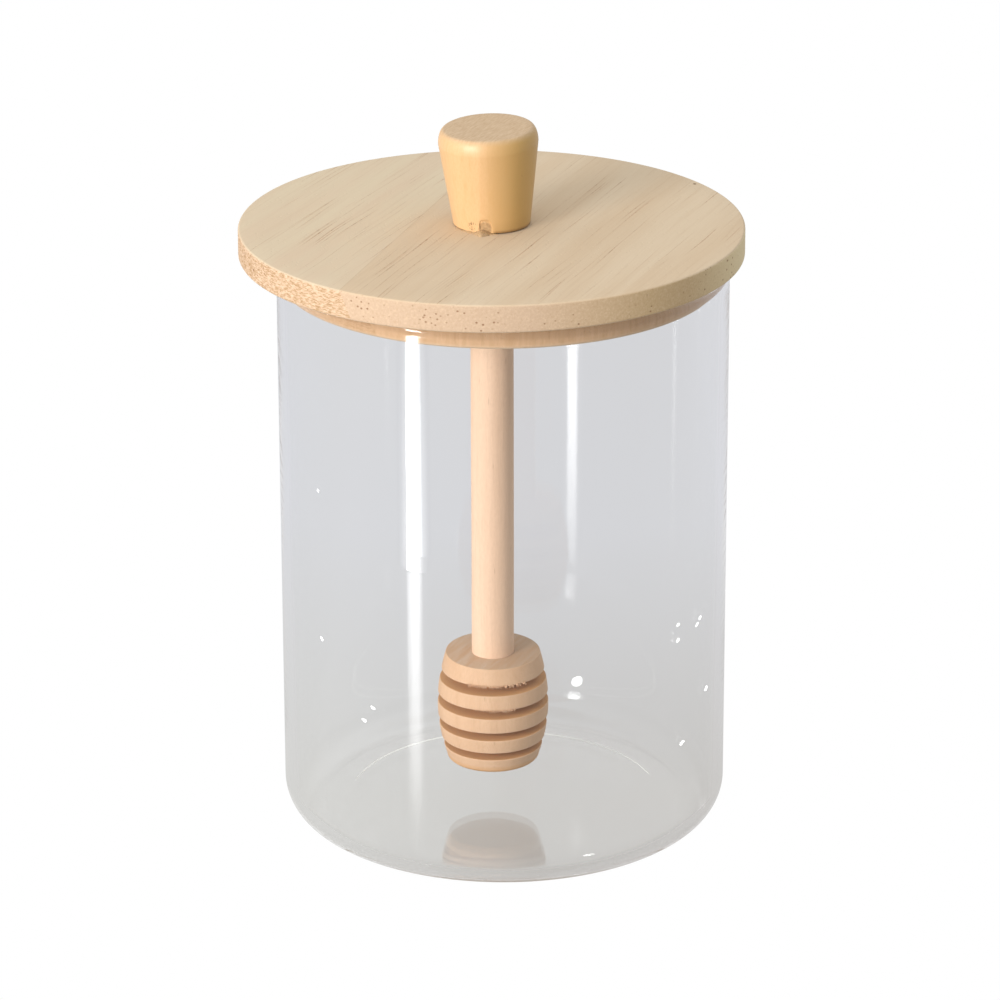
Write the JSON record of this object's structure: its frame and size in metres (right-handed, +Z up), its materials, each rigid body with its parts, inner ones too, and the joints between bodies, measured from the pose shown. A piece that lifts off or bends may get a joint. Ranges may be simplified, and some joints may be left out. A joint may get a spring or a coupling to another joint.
{
  "type": "glass honey jar with wooden lid and dipper",
  "caption": "Round clear glass jar, empty, with a flat wooden lid that plugs its mouth, a turned knob on top and a grooved wooden honey dipper hanging inside.",
  "frame": {"origin": "the point on the table under the centre of the lid, the middle of the bounding box's bottom", "axes": "+Z up along the lid's, the dowel's and the dipper's axis; -Y towards the picture's camera; +X to its right, the side to which the jar stands 2.5 mm off the lid's centre"},
  "size_m": [0.1116, 0.1116, 0.1616],
  "materials": {
    "clear_glass": "clear, polished, colourless borosilicate glass",
    "lid_board": "bare sanded pale hardwood board, matte, with open pores",
    "knob_wood": "turned wood with a thin satin wax or lacquer, warmer and yellower than the lid",
    "dowel_wood": "smooth pinkish cream dowel, bare",
    "head_wood": "bare turned wood, pale bands and darker grooves"
  },
  "bodies": {
    "root": {"glass_jar": "clear_glass", "lid": "lid_board", "knob": "knob_wood", "dipper_rod": "dowel_wood", "dipper_head": "head_wood"}
  },
  "joints": []
}
